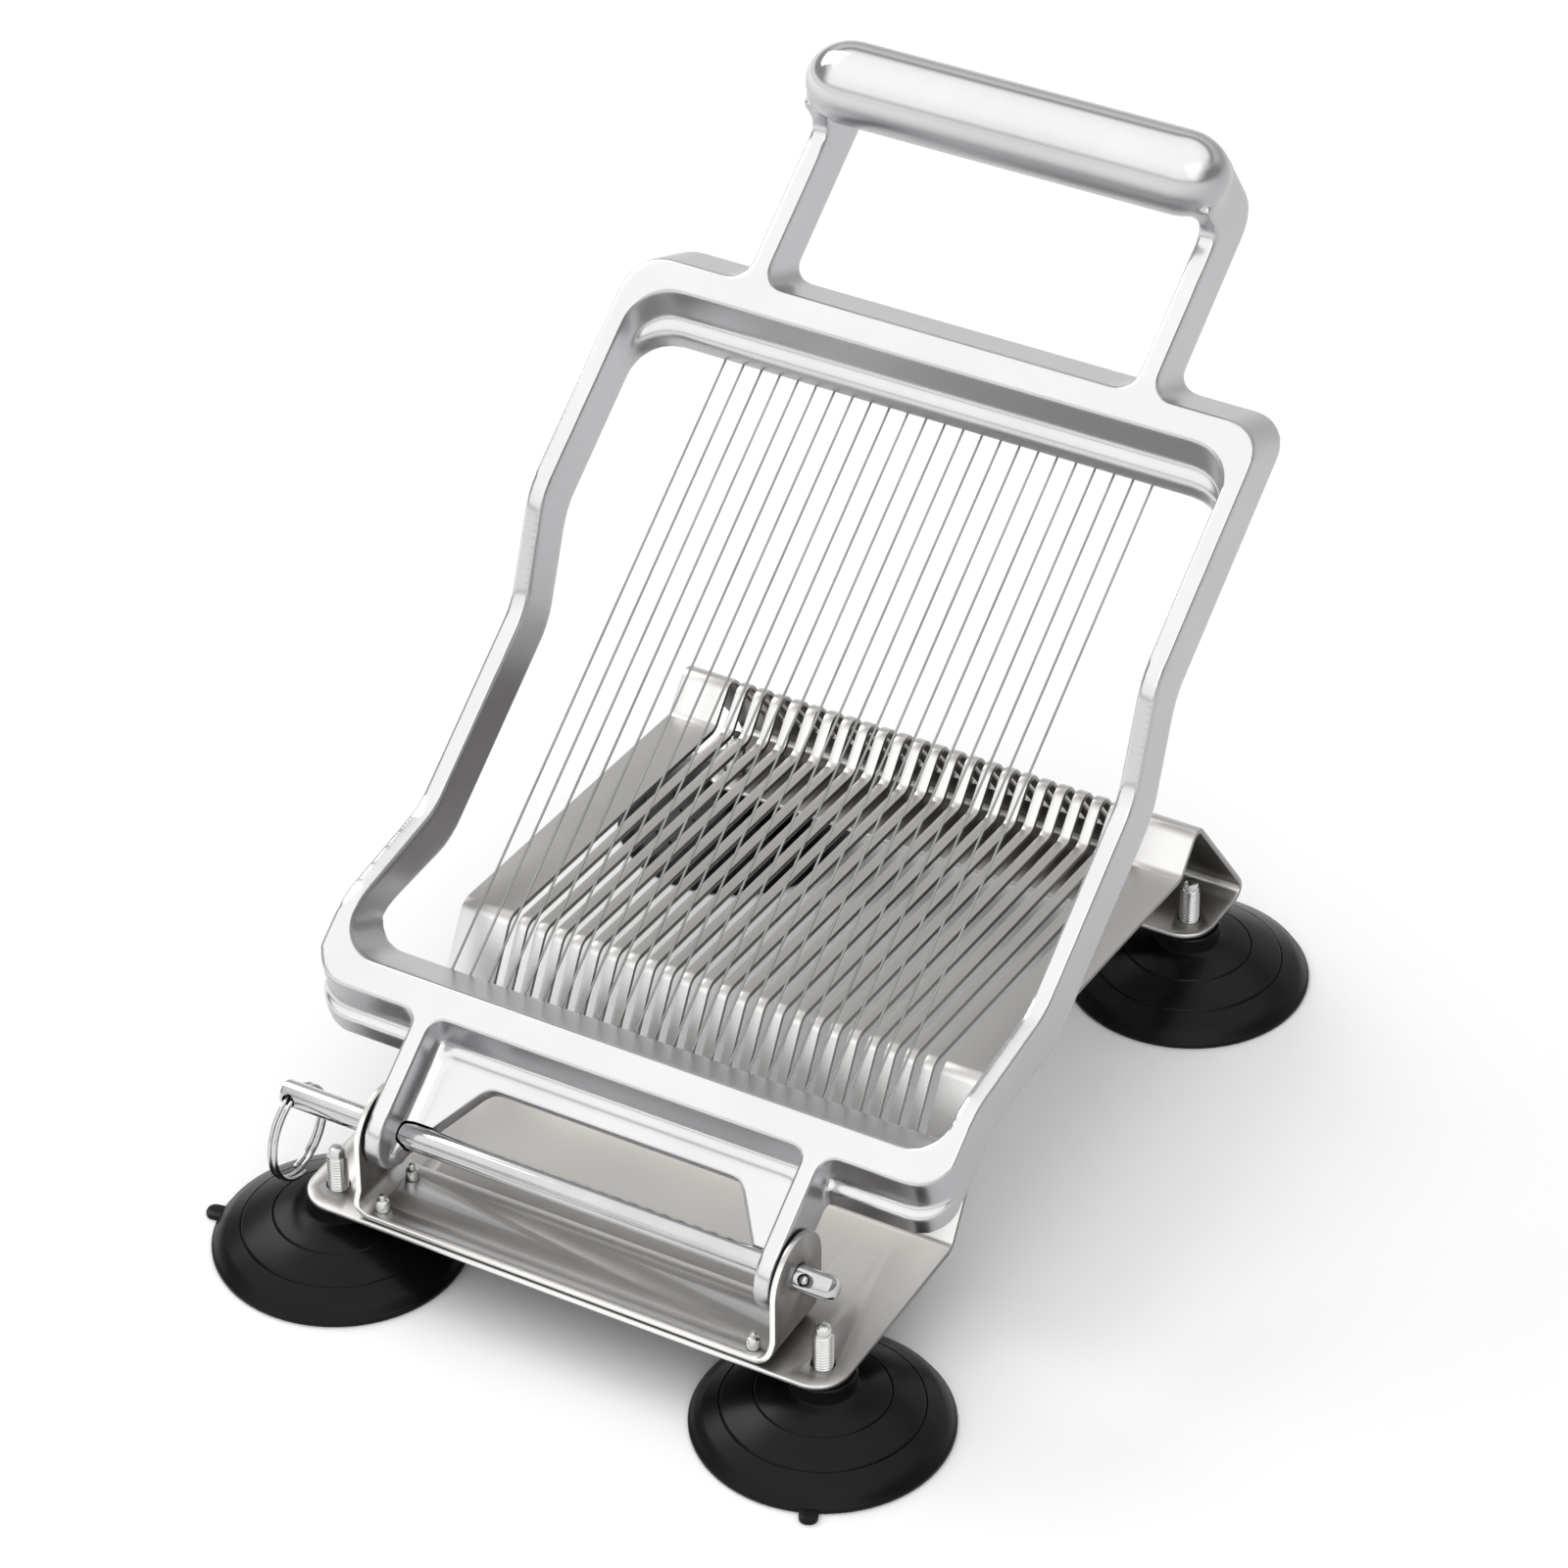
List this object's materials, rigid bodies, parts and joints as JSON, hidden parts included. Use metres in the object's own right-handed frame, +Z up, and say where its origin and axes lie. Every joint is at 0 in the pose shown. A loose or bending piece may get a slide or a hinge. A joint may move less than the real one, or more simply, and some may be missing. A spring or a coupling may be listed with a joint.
{
  "type": "cheese slicer board",
  "caption": "Slotted bent-sheet slicing board on suction feet, with a cast frame of parallel cutting wires that swings on a pull-out pin.",
  "frame": {"origin": "on the worktop, in the middle of the outline's bounding box", "axes": "+X to the right along the hinge pin, +Y from the pivot towards the handle, +Z up"},
  "size_m": [0.1952, 0.262, 0.2248],
  "materials": {
    "sheet_steel": "brushed stainless sheet with polished bends",
    "polished_aluminium": "polished casting with satin side walls",
    "polished_steel": "polished stainless steel",
    "wire_steel": "drawn stainless wire",
    "plated_steel": "plain turned steel with a satin plating",
    "black_rubber": "smooth black moulded rubber with a low sheen"
  },
  "bodies": {
    "base": {"base_plate": "sheet_steel", "hinge_bracket": "sheet_steel", "bracket_rivet_01": "plated_steel", "bracket_rivet_02": "plated_steel", "bracket_rivet_03": "plated_steel", "bracket_rivet_04": "plated_steel", "suction_cup_front_left": "black_rubber", "suction_cup_front_right": "black_rubber", "suction_cup_rear_left": "black_rubber", "suction_cup_rear_right": "black_rubber", "foot_stud_front_left": "plated_steel", "foot_stud_front_right": "plated_steel", "foot_stud_rear_left": "plated_steel", "foot_stud_rear_right": "plated_steel"},
    "frame": {"cutting_frame": "polished_aluminium", "cutting_wire_01": "wire_steel", "cutting_wire_02": "wire_steel", "cutting_wire_03": "wire_steel", "cutting_wire_04": "wire_steel", "cutting_wire_05": "wire_steel", "cutting_wire_06": "wire_steel", "cutting_wire_07": "wire_steel", "cutting_wire_08": "wire_steel", "cutting_wire_09": "wire_steel", "cutting_wire_10": "wire_steel", "cutting_wire_11": "wire_steel", "cutting_wire_12": "wire_steel", "cutting_wire_13": "wire_steel", "cutting_wire_14": "wire_steel", "cutting_wire_15": "wire_steel", "cutting_wire_16": "wire_steel", "cutting_wire_17": "wire_steel", "cutting_wire_18": "wire_steel", "cutting_wire_19": "wire_steel", "cutting_wire_20": "wire_steel", "cutting_wire_21": "wire_steel", "cutting_wire_22": "wire_steel", "cutting_wire_23": "wire_steel", "cutting_wire_24": "wire_steel", "wire_clamp_01": "plated_steel", "wire_clamp_02": "plated_steel", "wire_clamp_03": "plated_steel", "wire_clamp_04": "plated_steel", "wire_clamp_05": "plated_steel", "wire_clamp_06": "plated_steel", "wire_clamp_07": "plated_steel", "wire_clamp_08": "plated_steel", "wire_clamp_09": "plated_steel", "wire_clamp_10": "plated_steel", "wire_clamp_11": "plated_steel", "wire_clamp_12": "plated_steel"},
    "pin": {"hinge_pin": "polished_steel", "detent_spring": "wire_steel"},
    "ball": {"detent_ball": "polished_steel"},
    "ring": {"pin_ring": "polished_steel"}
  },
  "joints": [
    {"name": "frame_hinge", "type": "hinge", "parent": "base", "child": "frame", "pos_m": [0.0017, -0.09361, 0.036], "axis": [1, 0, 0], "range_deg": [-34.2, 143.8]},
    {"name": "pin_slide", "type": "slide", "parent": "base", "child": "pin", "axis": [-1, 0, 0], "range_m": [0, 0.16]},
    {"name": "ring_swing", "type": "hinge", "parent": "pin", "child": "ring", "pos_m": [-0.0775, -0.09361, 0.036], "axis": [0, 1, 0], "range_deg": [-6, 60]},
    {"name": "ball_press", "type": "slide", "parent": "pin", "child": "ball", "axis": [0, 0.766, -0.6428], "range_m": [0, 0.0005], "stiffness_N_per_m": 500, "springref_m": -0.001}
  ]
}
